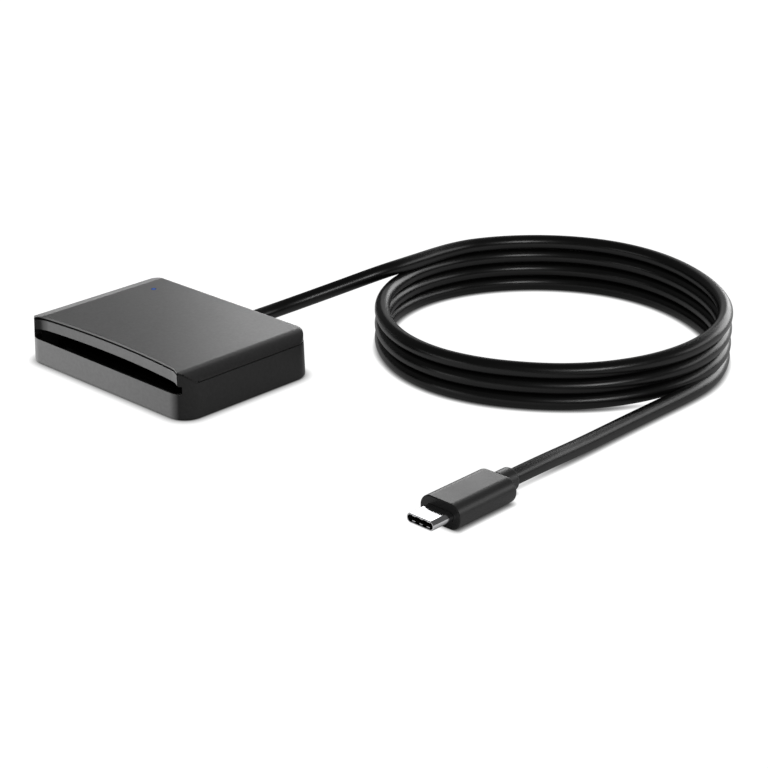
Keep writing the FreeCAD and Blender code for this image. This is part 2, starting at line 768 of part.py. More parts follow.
def make_board_screws():
    body = new_body("board_screws")
    heads = new_sketch(body, "heads", "XY_Plane", board_top)
    shanks = new_sketch(body, "shanks", "XY_Plane", board_top)
    for side in (1, -1):
        for y in board_post_rows:
            add_circle(heads, board_post_x * side, y, size.board_screw_head)
            add_circle(shanks, board_post_x * side, y, size.board_screw - size.screw_play)
    add_pad(body, heads, size.board_screw_depth)
    add_pad(body, shanks, board_top - floor_top - size.screw_play, reverse=True)
    return body


# Card frame: a deck between two rails, with a stop at the back and windows for the contacts.
def contact_x(column):
    return size.contact_offset + size.contact_pitch * (column - (contact_columns - 1) / 2)


def contact_y(row):
    return stop_y - size.contact_from_stop - size.contact_row_gap * row


def make_card_frame():
    body = new_body("card_frame")
    front = size.deck_front - half_depth
    back = stop_y + size.stop_thick
    outer = rail_x + size.rail_thick
    deck = new_sketch(body, "deck", "XY_Plane", deck_bottom)
    add_rectangle(deck, -outer, outer, front, back)
    add_pad(body, deck, size.deck_thick)

    rails = new_sketch(body, "rails", "XY_Plane", board_top)
    add_polygon(rails, [
        (rail_x + size.throat_chamfer, front), (outer, front), (outer, back),
        (rail_x, back), (rail_x, front + size.throat_chamfer * 2),
    ])
    rail = add_pad(body, rails, size.slot_bottom + size.rail_height - board_top)
    add_mirror(body, [rail], "YZ_Plane")

    stop = new_sketch(body, "stop", "XY_Plane", deck_bottom)
    add_rectangle(stop, -outer, outer, stop_y, back)
    add_pad(body, stop, size.slot_bottom + size.rail_height - deck_bottom)

    windows = new_sketch(body, "windows", "XY_Plane", size.slot_bottom)
    half = size.contact_width / 2 + size.window_margin
    for row in range(contact_rows):
        low = contact_y(row) - size.contact_tip - size.window_margin
        high = contact_y(row) + size.contact_reach + size.window_margin
        for column in range(contact_columns):
            add_rectangle(windows, contact_x(column) - half, contact_x(column) + half, low, high)
    add_pocket(body, windows, size.deck_thick)

    opening = new_sketch(body, "switch_window", "XY_Plane", size.slot_bottom)
    x = size.switch_x
    y = stop_y - size.switch_inset
    half_length = size.switch_length / 2 + size.window_margin
    half_across = size.switch_width / 2 + size.window_margin
    add_rectangle(opening, x - half_length, x + half_length, y - half_across, y + half_across)
    add_pocket(body, opening, size.deck_thick)
    return body


# Contact springs: a foot on the board, a riser and a beam whose crown touches the card.
def make_card_contacts():
    body = new_body("card_contacts")
    x = contact_x(0) - size.contact_width / 2
    y = contact_y(contact_rows - 1)
    thick = size.contact_thick
    crown = size.slot_bottom + size.contact_lift
    knee = deck_bottom + size.contact_knee
    heel = y + size.contact_reach
    foot = heel + size.contact_tip
    tip = y - size.contact_tip
    tip_top = size.slot_bottom - thick
    profile = new_sketch(body, "profile", "YZ_Plane", x)
    add_polygon(profile, [
        (foot, board_top), (foot, board_top + thick), (heel, board_top + thick), (heel, knee),
        (y, crown), (tip, tip_top), (tip, tip_top - thick), (y, crown - thick),
        (heel - thick, knee - thick), (heel - thick, board_top),
    ])
    spring = add_pad(body, profile, size.contact_width)
    across = body.newObject("PartDesign::MultiTransform", "card_contacts_field")
    across.Originals = [spring]
    steps = []
    field = (
        ("X_Axis", size.contact_pitch * (contact_columns - 1), contact_columns),
        ("Y_Axis", size.contact_row_gap * (contact_rows - 1), contact_rows),
    )
    for role, length, count in field:
        step = body.newObject("PartDesign::LinearPattern", f"card_contacts_{role}")
        axis = next(item for item in body.Origin.OriginFeatures if item.Role == role)
        step.Direction = (axis, [""])
        bind(step, "Length", length)
        step.Occurrences = count
        steps.append(step)
    across.Transformations = steps
    body.Tip = across
    return body


# Card switch: a small block whose plunger stands in the card's way near the stop.
def make_card_switch():
    body = new_body("card_switch")
    x = size.switch_x
    y = stop_y - size.switch_inset
    block = new_sketch(body, "block", "XY_Plane", board_top)
    half_length = size.switch_length / 2
    half_across = size.switch_width / 2
    add_rectangle(block, x - half_length, x + half_length, y - half_across, y + half_across)
    add_pad(body, block, size.slot_bottom - board_top - size.contact_thick)
    plunger = new_sketch(body, "plunger", "XY_Plane", board_top)
    add_circle(plunger, x, y, size.switch_width / 2)
    add_pad(body, plunger, size.slot_bottom + size.contact_lift - board_top)
    return body


# Parts soldered to the board's upper face.
def make_board_block(label, x, y, length, width, thick, count=1, pitch=0):
    body = new_body(label)
    outline = new_sketch(body, "outline", "XY_Plane", board_top)
    for index in range(count):
        centre = as_dim(x) + as_dim(pitch) * index
        add_rectangle(
            outline, centre - length / 2, centre + length / 2, as_dim(y) - width / 2, as_dim(y) + width / 2,
        )
    add_pad(body, outline, thick)
    return body


def make_board_parts():
    make_board_block(
        "controller_chip", size.chip_x, size.chip_y, size.chip_side, size.chip_side, size.chip_thick,
    )
    make_board_block(
        "clock_crystal", size.crystal_x, size.chip_y,
        size.crystal_length, size.crystal_width, size.crystal_thick,
    )
    make_board_block(
        "board_capacitors", size.capacitor_x, size.capacitor_y,
        size.capacitor_length, size.capacitor_width, size.capacitor_thick,
        capacitor_count, size.capacitor_pitch,
    )
    make_board_block("status_led", led_x, led_y, size.led_length, size.led_width, size.led_thick)
    make_board_block(
        "cable_header", 0, header_front + size.header_depth / 2,
        size.header_width, size.header_depth, size.header_height,
    )


# Light pipe: a clear rod through the roof with a flange under it.
def make_light_pipe():
    body = new_body("light_pipe")
    low = board_top + size.led_thick + size.seam_gap
    rod = size.pipe_diameter / 2
    flange = size.pipe_flange / 2
    profile = new_sketch(body, "profile", "XZ_Plane")
    add_polygon(profile, [
        (0, low), (rod, low), (rod, roof_under - size.pipe_flange_thick),
        (flange, roof_under - size.pipe_flange_thick), (flange, roof_under),
        (rod, roof_under), (rod, size.top_height), (0, size.top_height),
    ])
    add_turn(body, profile)
    move(body, led_x, led_y, 0)
    return body


# Case screws: pan heads sunk in the underside, shanks in the cover's bosses.
def make_case_screws():
    body = new_body("case_screws")
    heads = new_sketch(body, "heads", "XY_Plane", screw_seat - size.screw_head_thick)
    shanks = new_sketch(body, "shanks", "XY_Plane", screw_seat)
    for side in (1, -1):
        add_circle(heads, foot_x * side, foot_y, size.screw_head)
        add_circle(shanks, foot_x * side, foot_y, size.screw_shank)
    add_pad(body, heads, size.screw_head_thick)
    add_pad(body, shanks, roof_under - size.screw_end_gap - screw_seat)
    return body


def make_rubber_feet():
    body = new_body("rubber_feet")
    discs = new_sketch(body, "discs", "XY_Plane")
    for side in (1, -1):
        for end in (1, -1):
            add_circle(discs, foot_x * side, foot_y * end, size.foot_diameter)
    add_pad(body, discs, size.foot_stand + size.foot_seat)
    return body


# Gland: moulded on the cable, held in the back wall, with a short tapered boot outside.
def make_cable_gland():
    body = new_body("cable_gland")
    inner = cavity_y - size.gland_flange_thick
    profile = new_sketch(body, "profile", "XY_Plane")
    add_polygon(profile, [
        (0, inner), (size.gland_flange / 2, inner), (size.gland_flange / 2, cavity_y),
        (size.gland_neck / 2, cavity_y), (size.gland_neck / 2, gland_back),
        (size.gland_boot_big / 2, gland_back), (size.gland_boot_small / 2, gland_back + size.gland_boot),
        (0, gland_back + size.gland_boot),
    ])
    add_turn(body, profile)
    move(body, 0, 0, size.cable_height)
    return body


def make_cable_wires():
    body = new_body("cable_wires")
    start = header_front + size.header_depth
    wires = new_sketch(body, "wires", "XZ_Plane", -start)
    for index in range(wire_count):
        x = size.wire_pitch * (index - (wire_count - 1) / 2)
        add_circle(wires, x, size.cable_height, size.wire_diameter)
    add_pad(body, wires, cavity_y - size.gland_flange_thick - start, reverse=True)
    return body


# Free cable: straight runs joined by tangent arcs, each as large as its shorter run allows.
def make_cable_run(label, first, last, route):
    span = last - first
    corners = [first]
    for across, along, up in route:
        corners.append(first + Vector(span.x * across, span.y * along, span.z * up))
    corners.append(last)
    edges = []
    here = corners[0]
    radii = []
    for before, corner, after in zip(corners, corners[1:], corners[2:]):
        arriving = (corner - before).normalize()
        leaving = (after - corner).normalize()
        setback = arc_tangent_share * min((corner - before).Length, (after - corner).Length)
        half_turn = arriving.getAngle(leaving) / 2
        radius = setback / math.tan(half_turn)
        inward = (leaving - arriving).normalize()
        middle = corner + inward * (radius / math.cos(half_turn) - radius)
        start = corner - arriving * setback
        end = corner + leaving * setback
        edges.append(Part.LineSegment(here, start).toShape())
        edges.append(Part.Arc(start, middle, end).toShape())
        here = end
        radii.append(round(radius, 1))
    edges.append(Part.LineSegment(here, corners[-1]).toShape())
    path = Part.Wire(edges)
    heading = corners[1] - corners[0]
    section = Part.Wire(Part.makeCircle(strand.number, corners[0], heading))
    tube = doc.addObject("Part::Feature", label)
    tube.Label = label
    tube.Shape = path.makePipeShell([section], True, False)
    tube.Placement = Placement(Vector(0, 0, 0), Rotation())
    filled = tube.Shape.Volume / (math.pi * strand.number ** 2 * path.Length)
    print(label, "length", round(path.Length, 1), "bend radii", radii, "filled", round(filled, 4))
    return tube


# Coil: a ring of stacked strands, a further strand round its back half, and a tail.
def make_cable_coil():
    body = new_body("cable_coil")
    half = strand + size.coil_slack
    inner = size.coil_radius - half
    outer = size.coil_radius + half
    ring = new_sketch(body, "ring", "XZ_Plane")
    add_rounded_rectangle(ring, inner, outer, 0, size.strand_pitch * ring_strands, strand)
    add_turn(body, ring)

    upper = new_sketch(body, "upper", "XZ_Plane")
    low = size.strand_pitch * (ring_strands - 1)
    add_rounded_rectangle(upper, inner, outer, low, size.strand_pitch * (ring_strands + 1), strand)
    add_turn(body, upper, angle=180)

    along = Dim(math.cos(math.radians(size.tail_turn.number)), "cos(Sizes.tail_turn)")
    beside = Dim(math.sin(math.radians(size.tail_turn.number)), "sin(Sizes.tail_turn)")
    hub_x = (size.coil_radius - size.tail_radius) * along
    hub_y = (size.coil_radius - size.tail_radius) * beside
    tail = new_sketch(body, "tail", "XZ_Plane", -hub_y)
    add_circle(tail, hub_x + size.tail_radius, size.strand_pitch / 2, size.cable_diameter)
    axis = tail.addGeometry(Part.LineSegment(flat(hub_x, 0), flat(hub_x, size.strand_pitch)), True)
    place_point(tail, axis, 1, hub_x, 0)
    place_point(tail, axis, 2, hub_x, size.strand_pitch)
    add_turn(body, tail, axis="Axis0", angle=size.tail_turn)
    move(body, size.coil_x, size.coil_y, 0)
    return hub_x, hub_y


def make_cable():
    hub_x, hub_y = make_cable_coil()
    gland_end = point(0, gland_back + size.gland_boot, size.cable_height)
    upper_strand = size.strand_pitch * (ring_strands + 1) - strand
    coil_start = point(size.coil_x - size.coil_radius, size.coil_y, upper_strand)
    make_cable_run("cable_reader_run", gland_end, coil_start, reader_route)
    tail_x = size.coil_x + hub_x + size.tail_radius
    tail_end = point(tail_x, size.coil_y + hub_y, size.strand_pitch / 2)
    collar_end = point(size.plug_x, size.plug_front + size.plug_length + size.collar_length, plug_axis)
    make_cable_run("cable_plug_run", tail_end, collar_end, plug_route)


# Plug, modelled about its own axis from the front face of the moulding, tip towards -Y.
def place_plug_piece(body):
    move(body, size.plug_x, size.plug_front, plug_axis)


def add_plug_outline(sketch, width, thick, radius):
    add_rounded_rectangle(sketch, -width / 2, width / 2, -thick / 2, thick / 2, radius)


def make_plug_overmold():
    body = new_body("plug_overmold")
    outline = new_sketch(body, "outline", "XZ_Plane")
    add_plug_outline(outline, size.plug_width, size.plug_thick, size.plug_side_radius)
    block = add_pad(body, outline, size.plug_length, reverse=True)
    back = add_fillet(body, block, size.plug_back_round, lambda edge: lies_in(edge, "y", size.plug_length))
    add_fillet(body, back, size.plug_front_round, lambda edge: lies_in(edge, "y", 0))

    collar = new_sketch(body, "collar", "XZ_Plane", -size.plug_length)
    add_circle(collar, 0, 0, size.collar_diameter)
    collar_end = size.plug_length + size.collar_length
    stem = add_pad(body, collar, size.collar_length, reverse=True)
    add_fillet(body, stem, size.collar_round, lambda edge: lies_in(edge, "y", collar_end))

    seat = new_sketch(body, "shell_seat", "XZ_Plane")
    add_plug_outline(
        seat, size.shell_width + size.shell_play * 2, size.shell_thick + size.shell_play * 2,
        size.shell_radius + size.shell_play,
    )
    add_pocket(body, seat, size.shell_root)
    place_plug_piece(body)
    return body


def make_plug_shell():
    body = new_body("plug_shell")
    outline = new_sketch(body, "outline", "XZ_Plane", size.shell_length)
    add_plug_outline(outline, size.shell_width, size.shell_thick, size.shell_radius)
    tube = add_pad(body, outline, size.shell_length + size.shell_root, reverse=True)
    add_fillet(body, tube, size.shell_wall / 2, lambda edge: lies_in(edge, "y", -size.shell_length))
    mouth = new_sketch(body, "mouth", "XZ_Plane", size.shell_length)
    add_plug_outline(
        mouth, size.shell_width - size.shell_wall * 2, size.shell_thick - size.shell_wall * 2,
        size.shell_radius - size.shell_wall,
    )
    add_pocket(body, mouth)
    place_plug_piece(body)
    return body


tongue_front = size.shell_length - size.tongue_recess
tongue_inset = size.shell_wall + size.shell_play
tongue_width = size.shell_width - tongue_inset * 2
tongue_thick = size.shell_thick - tongue_inset * 2


def spring_x(index):
    return size.spring_pitch * (index - (spring_count - 1) / 2)


# Insulator: fills the shell behind its mouth, slotted for the mating tongue.
def make_plug_insulator():
    body = new_body("plug_insulator")
    outline = new_sketch(body, "outline", "XZ_Plane", tongue_front)
    add_plug_outline(outline, tongue_width, tongue_thick, size.shell_radius - tongue_inset)
    add_pad(body, outline, tongue_front + size.shell_root, reverse=True)
    slot = new_sketch(body, "slot", "XZ_Plane", tongue_front)
    half_width_slot = size.tongue_slot_width / 2
    half_height_slot = size.tongue_slot_height / 2
    add_rectangle(slot, -half_width_slot, half_width_slot, -half_height_slot, half_height_slot)
    add_pocket(body, slot, size.tongue_slot_depth)
    notches = new_sketch(body, "spring_notches", "XZ_Plane", tongue_front)
    reach = size.spring_width / 2 + size.spring_play
    low = tongue_thick / 2 - size.spring_thick - size.spring_play
    for index in range(spring_count):
        for side in (1, -1):
            bottom, top = sorted((low * side, tongue_thick * side), key=lambda d: d.number)
            add_rectangle(notches, spring_x(index) - reach, spring_x(index) + reach, bottom, top)
    add_pocket(body, notches, size.spring_length - size.spring_proud)
    place_plug_piece(body)
    return body


# Ground springs: tabs at the mouth, above and below the slot.
def make_plug_springs():
    body = new_body("plug_ground_springs")
    tabs = new_sketch(body, "tabs", "XZ_Plane", tongue_front + size.spring_proud)
    reach = size.spring_width / 2
    inner = tongue_thick / 2 - size.spring_thick
    for index in range(spring_count):
        for side in (1, -1):
            bottom, top = sorted((inner * side, tongue_thick / 2 * side), key=lambda d: d.number)
            add_rectangle(tabs, spring_x(index) - reach, spring_x(index) + reach, bottom, top)
    add_pad(body, tabs, size.spring_length, reverse=True)
    place_plug_piece(body)
    return body


def make_plug_contacts():
    body = new_body("plug_contacts")
    start = tongue_front - (size.tongue_slot_depth - size.pin_length)
    pins = new_sketch(body, "pins", "XZ_Plane", start)
    wall = size.tongue_slot_height / 2
    for index in range(pin_count):
        x = size.pin_pitch * (index - (pin_count - 1) / 2)
        for side in (1, -1):
            bottom, top = sorted(((wall - size.pin_thick) * side, wall * side), key=lambda d: d.number)
            add_rectangle(pins, x - size.pin_width / 2, x + size.pin_width / 2, bottom, top)
    add_pad(body, pins, size.pin_length, reverse=True)
    place_plug_piece(body)
    return body


def make_plug_latches():
    body = new_body("plug_latches")
    start = tongue_front - (size.tongue_slot_depth - size.latch_length)
    strips = new_sketch(body, "strips", "XZ_Plane", start)
    wall = size.tongue_slot_width / 2
    for side in (1, -1):
        inner, outer = sorted(((wall - size.latch_thick) * side, wall * side), key=lambda d: d.number)
        add_rectangle(strips, inner, outer, -size.latch_height / 2, size.latch_height / 2)
    add_pad(body, strips, size.latch_length, reverse=True)
    place_plug_piece(body)
    return body


make_bottom_case()
make_top_cover()
make_slot_lip()
make_circuit_board()
make_board_screws()
make_card_frame()
make_card_contacts()
make_card_switch()
make_board_parts()
make_light_pipe()
make_case_screws()
make_rubber_feet()
make_cable_gland()
make_cable_wires()
make_cable()
make_plug_overmold()
make_plug_shell()
make_plug_insulator()
make_plug_springs()
make_plug_contacts()
make_plug_latches()
doc.recompute()

# Nothing is written unless every feature was built and every piece is a sound solid.
for item in doc.Objects:
    if "Invalid" in item.State or "Error" in item.State:
        raise RuntimeError(f"{item.Name} was not built: {item.State}")
pieces = [item for item in doc.Objects if item.TypeId in ("PartDesign::Body", "Part::Feature")]
pieces = [item for item in pieces if item.getParentGeoFeatureGroup() is None]
for item in pieces:
    if item.Shape.isNull() or not item.Shape.isValid() or not item.Shape.Solids:
        raise RuntimeError(f"{item.Label} is not a sound solid")

os.makedirs("parts", exist_ok=True)
for item in pieces:
    item.Shape.exportStep(f"parts/{item.Label}.step")
    print(item.Label, len(item.Shape.Solids), round(item.Shape.Volume, 2))
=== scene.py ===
import json
import math

import bpy
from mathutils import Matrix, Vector

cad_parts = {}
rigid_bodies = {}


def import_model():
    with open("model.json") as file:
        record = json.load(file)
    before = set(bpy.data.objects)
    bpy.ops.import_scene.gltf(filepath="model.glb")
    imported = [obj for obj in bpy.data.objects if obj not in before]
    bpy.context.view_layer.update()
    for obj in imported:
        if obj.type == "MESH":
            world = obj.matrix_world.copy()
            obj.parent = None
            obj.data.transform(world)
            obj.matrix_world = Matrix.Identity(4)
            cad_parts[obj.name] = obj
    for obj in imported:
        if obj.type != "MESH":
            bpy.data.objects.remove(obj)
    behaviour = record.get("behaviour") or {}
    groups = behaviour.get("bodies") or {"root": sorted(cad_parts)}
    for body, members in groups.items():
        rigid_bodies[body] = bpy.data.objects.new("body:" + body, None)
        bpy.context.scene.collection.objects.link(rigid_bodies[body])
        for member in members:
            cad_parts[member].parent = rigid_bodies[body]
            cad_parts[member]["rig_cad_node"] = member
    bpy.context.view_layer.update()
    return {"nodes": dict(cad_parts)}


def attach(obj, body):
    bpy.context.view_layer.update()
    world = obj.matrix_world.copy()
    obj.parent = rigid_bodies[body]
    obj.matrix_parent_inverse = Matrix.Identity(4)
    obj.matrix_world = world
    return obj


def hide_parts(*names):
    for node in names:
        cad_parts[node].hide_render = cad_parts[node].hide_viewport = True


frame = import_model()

mm = 0.001


# sRGB hex to linear colour
def hexColour(text):
    channels = [int(text[i:i + 2], 16) / 255 for i in (1, 3, 5)]
    return [c / 12.92 if c <= 0.04045 else ((c + 0.055) / 1.055) ** 2.4 for c in channels] + [1.0]


# one node with its settings and its incoming links, each by the input's name or number
def addNode(tree, kind, settings=None, links=None):
    node = tree.nodes.new("ShaderNode" + kind)
    for key, value in (settings or {}).items():
        if isinstance(key, int) or key in node.inputs.keys():
            node.inputs[key].default_value = value
        else:
            setattr(node, key, value)
    for key, source in (links or {}).items():
        tree.links.new(source, node.inputs[key])
    return node


def newMaterial(name):
    material = bpy.data.materials.new(name)
    material.use_nodes = True
    return material, material.node_tree, material.node_tree.nodes["Principled BSDF"]


def grainScale(sizeMm):
    return 1000.0 / sizeMm      # noise cells per metre for a grain of that size


def twoTone(tree, fac, low, high, start, end):
    ramp = addNode(tree, "ValToRGB", None, {"Fac": fac})
    ramp.color_ramp.elements[0].position = start
    ramp.color_ramp.elements[0].color = hexColour(low)
    ramp.color_ramp.elements[1].position = end
    ramp.color_ramp.elements[1].color = hexColour(high)
    return ramp.outputs["Color"]


# moulded or extruded plastic: a fine eroded grain, and a gloss that drifts across the piece
mould = {"toneFrom": 0.3, "toneTo": 0.75, "cloudMm": 9.0, "glossDrift": 0.02, "bump": 0.35}


def mouldedPlastic(name, settings):
    material, tree, shader = newMaterial(name)
    place = addNode(tree, "TexCoord").outputs["Object"]
    grain = addNode(tree, "TexNoise", {"Scale": grainScale(settings["grainMm"]), "Detail": 2.0,
                                       "Roughness": 0.5}, {"Vector": place})
    cloud = addNode(tree, "TexNoise", {"Scale": grainScale(mould["cloudMm"]), "Detail": 2.0},
                    {"Vector": place})
    tone = twoTone(tree, grain.outputs["Fac"], settings["colour"], settings["paler"],
                   mould["toneFrom"], mould["toneTo"])
    tree.links.new(tone, shader.inputs["Base Color"])
    rough = settings["roughness"]
    gloss = addNode(tree, "MapRange", {"From Min": 0.3, "From Max": 0.7,
                                       "To Min": rough - mould["glossDrift"],
                                       "To Max": rough + mould["glossDrift"]},
                    {"Value": cloud.outputs["Fac"]})
    tree.links.new(gloss.outputs["Result"], shader.inputs["Roughness"])
    bump = addNode(tree, "Bump", {"Strength": mould["bump"], "Distance": settings["depthMm"] * mm},
                   {"Height": grain.outputs["Fac"]})
    tree.links.new(bump.outputs["Normal"], shader.inputs["Normal"])
    shader.inputs["Specular IOR Level"].default_value = settings["shine"]
    return material


# plated metal: bright, with the faint drawing lines of stamped or turned stock
drawn = {"toneFrom": 0.3, "toneTo": 0.7, "smoother": 0.05, "rougher": 0.08, "bump": 0.1,
         "depthMm": 0.01}


def platedMetal(name, settings):
    material, tree, shader = newMaterial(name)
    place = addNode(tree, "TexCoord").outputs["Object"]
    along = addNode(tree, "Mapping", {"Scale": [grainScale(size) for size in settings["linesMm"]]},
                    {"Vector": place})
    lines = addNode(tree, "TexNoise", {"Scale": 1.0, "Detail": 3.0},
                    {"Vector": along.outputs["Vector"]})
    tone = twoTone(tree, lines.outputs["Fac"], settings["colour"], settings["paler"],
                   drawn["toneFrom"], drawn["toneTo"])
    tree.links.new(tone, shader.inputs["Base Color"])
    rough = settings["roughness"]
    gloss = addNode(tree, "MapRange", {"To Min": rough - drawn["smoother"],
                                       "To Max": rough + drawn["rougher"]},
                    {"Value": lines.outputs["Fac"]})
    tree.links.new(gloss.outputs["Result"], shader.inputs["Roughness"])
    bump = addNode(tree, "Bump", {"Strength": drawn["bump"], "Distance": drawn["depthMm"] * mm},
                   {"Height": lines.outputs["Fac"]})
    tree.links.new(bump.outputs["Normal"], shader.inputs["Normal"])
    shader.inputs["Metallic"].default_value = 1.0
    return material


# spark-eroded ABS of the housing, its grain drawn coarser than real so that it shows
housingPlastic = {"colour": "#646464", "paler": "#6b6b6b", "roughness": 0.3,
                  "grainMm": 0.8, "depthMm": 0.004, "shine": 0.1}
finishes = {
    "case": mouldedPlastic("moulded_abs_case", housingPlastic),
    "cover": mouldedPlastic("moulded_abs_cover", housingPlastic),
    "lip": mouldedPlastic("moulded_abs_lip", housingPlastic),
    # unpolished ABS in the slot, glass-filled nylon in the plug, and painted shade on the lip's
    # faces that look up or down
    "inside": mouldedPlastic("moulded_abs_inside", {
        "colour": "#1a1a1a", "paler": "#222222", "roughness": 0.7,
        "grainMm": 0.35, "depthMm": 0.02, "shine": 0.1}),
    # smooth extruded PVC round the cable
    "jacket": mouldedPlastic("extruded_pvc_jacket", {
        "colour": "#0b0b0b", "paler": "#0f0f0f", "roughness": 0.3,
        "grainMm": 1.6, "depthMm": 0.0004, "shine": 0.36}),
    # soft moulding of the plug
    "plug": mouldedPlastic("moulded_tpe_plug", {
        "colour": "#4e4e4e", "paler": "#565656", "roughness": 0.36,
        "grainMm": 0.3, "depthMm": 0.004, "shine": 0.32}),
    # rubber of the feet and the gland
    "rubber": mouldedPlastic("moulded_rubber", {
        "colour": "#181818", "paler": "#222222", "roughness": 0.6,
        "grainMm": 0.3, "depthMm": 0.02, "shine": 0.25}),
    # black solder mask over the board's laminate, and what stands on the board
    "board": mouldedPlastic("black_solder_mask", {
        "colour": "#0d0f0e", "paler": "#161917", "roughness": 0.35,
        "grainMm": 0.8, "depthMm": 0.02, "shine": 0.3}),
    "epoxy": mouldedPlastic("chip_epoxy", {
        "colour": "#111111", "paler": "#1b1b1b", "roughness": 0.6,
        "grainMm": 0.1, "depthMm": 0.01, "shine": 0.3}),
    "ceramic": mouldedPlastic("capacitor_ceramic", {
        "colour": "#8a6f52", "paler": "#a08463", "roughness": 0.4,
        "grainMm": 0.1, "depthMm": 0.005, "shine": 0.5}),
    "nylon": mouldedPlastic("header_nylon", {
        "colour": "#cfc9bb", "paler": "#dcd7ca", "roughness": 0.45,
        "grainMm": 0.3, "depthMm": 0.01, "shine": 0.5}),
    "wire": mouldedPlastic("wire_insulation", {
        "colour": "#8c1d16", "paler": "#a32b22", "roughness": 0.35,
        "grainMm": 0.3, "depthMm": 0.005, "shine": 0.5}),
    "resin": mouldedPlastic("led_resin", {
        "colour": "#dfe6ec", "paler": "#eef3f7", "roughness": 0.2,
        "grainMm": 0.2, "depthMm": 0.003, "shine": 0.5}),
    # nickel on the plug's shell, zinc and black oxide on the screws, gold on the contacts
    "shell": platedMetal("nickel_plated_steel", {
        "colour": "#d2d2d4", "paler": "#e0e0e2", "roughness": 0.16, "linesMm": (0.12, 3.0, 0.12)}),
    "zinc": platedMetal("zinc_plated_steel", {
        "colour": "#a8a9ab", "paler": "#babbbd", "roughness": 0.35, "linesMm": (0.3, 0.3, 1.0)}),
    "oxide": platedMetal("blackened_steel", {
        "colour": "#121214", "paler": "#1b1b1d", "roughness": 0.5, "linesMm": (0.3, 0.3, 1.0)}),
    "gold": platedMetal("gold_plated_alloy", {
        "colour": "#c9a44c", "paler": "#dab65e", "roughness": 0.2, "linesMm": (0.1, 1.5, 0.1)}),
}
print("mixed", len(finishes), "finishes")


def selectOnly(piece):
    bpy.ops.object.select_all(action="DESELECT")
    piece.select_set(True)
    bpy.context.view_layer.objects.active = piece


def dress(piece, material):
    piece.data.materials.clear()
    piece.data.materials.append(material)


# moves the corners of a mesh that lie in a box, both in millimetres
def moveCorners(piece, box, shift):
    selectOnly(piece)
    bpy.ops.object.mode_set(mode="EDIT")
    bpy.ops.mesh.select_mode(type="VERT")
    bpy.ops.mesh.select_all(action="DESELECT")
    bpy.ops.object.mode_set(mode="OBJECT")
    for vertex in piece.data.vertices:
        vertex.select = all(low <= value / mm <= high
                            for value, (low, high) in zip(vertex.co, box))
    bpy.ops.object.mode_set(mode="EDIT")
    bpy.ops.transform.translate(value=[step * mm for step in shift])
    bpy.ops.object.mode_set(mode="OBJECT")


# planes a mesh off above a slope through a place in millimetres, with a crisp edge
def planeOff(piece, place, facing):
    selectOnly(piece)
    bpy.ops.object.mode_set(mode="EDIT")
    bpy.ops.mesh.select_all(action="SELECT")
    bpy.ops.mesh.bisect(plane_co=[step * mm for step in place], plane_no=facing, use_fill=True,
                        clear_outer=True, threshold=1e-7)     # metres, so that no near point snaps
    bpy.ops.mesh.mark_sharp()
    bpy.ops.object.mode_set(mode="OBJECT")


# a copy of a CAD node with its edges eased, as a mould leaves them
def easedCopy(nodeName, pieceName, settings, material):
    node = frame["nodes"][nodeName]
    piece = node.copy()
    piece.data = node.data.copy()
    piece.name = pieceName
    piece.parent = None
    del piece["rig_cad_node"]
    bpy.context.scene.collection.objects.link(piece)
    selectOnly(piece)
    if piece.data.has_custom_normals:
        bpy.ops.mesh.customdata_custom_splitnormals_clear()
    bpy.ops.object.mode_set(mode="EDIT")
    bpy.ops.mesh.select_all(action="SELECT")
    bpy.ops.mesh.remove_doubles(threshold=settings["mergeMm"] * mm)
    bpy.ops.mesh.dissolve_limited(angle_limit=math.radians(settings["flatDegrees"]))
    bpy.ops.object.mode_set(mode="OBJECT")
    for box, shift in settings.get("moves", []):
        moveCorners(piece, box, shift)
    for place, facing in settings.get("cuts", []):
        planeOff(piece, place, facing)
    bevel = piece.modifiers.new("ease", "BEVEL")
    bevel.width = settings["edgeMm"] * mm
    bevel.segments = settings["segments"]
    bevel.limit_method = "ANGLE"
    bevel.angle_limit = math.radians(settings["edgeDegrees"])
    bevel.miter_outer = "MITER_ARC"
    bpy.ops.object.modifier_apply(modifier="ease")
    bpy.ops.object.shade_smooth_by_angle(angle=math.radians(settings["smoothDegrees"]))
    even = piece.modifiers.new("even", "WEIGHTED_NORMAL")     # flat faces stay flat at eased edges
    even.keep_sharp = True
    bpy.ops.object.modifier_apply(modifier="even")
    dress(piece, material)
    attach(piece, "root")
    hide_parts(nodeName)
    print("eased", pieceName, len(piece.data.polygons), "faces")
    return piece


housingEdge = {"mergeMm": 0.002, "flatDegrees": 0.3, "edgeMm": 0.18, "segments": 3,
               "edgeDegrees": 32, "smoothDegrees": 34}
# the left shoulder is a little flatter than the right one
coverEdge = {**housingEdge, "cuts": [((-27.4, 0, 13.2), (-0.163, 0, 0.987))]}
# the wall under the slot slopes inwards, to lead the card in, and the underside lies a little lower
caseEdge = {**housingEdge, "moves": [(((-30.2, 30.2), (-21.2, -19.4), (7.1, 7.3)), (0, 0, -1.5)),
                                     (((-33, 33), (-24, 24), (0.29, 0.31)), (0, 0, -0.2))]}
# the lip's top stays clear of the cover's edge
lipEdge = {**housingEdge, "edgeMm": 0.1,
           "moves": [(((-30, 30), (-23, -17), (12.3, 12.6)), (0, 0, -0.25))]}
plugEdge = {"mergeMm": 0.001, "flatDegrees": 0.3, "edgeMm": 0.06, "segments": 2,
            "edgeDegrees": 40, "smoothDegrees": 40}

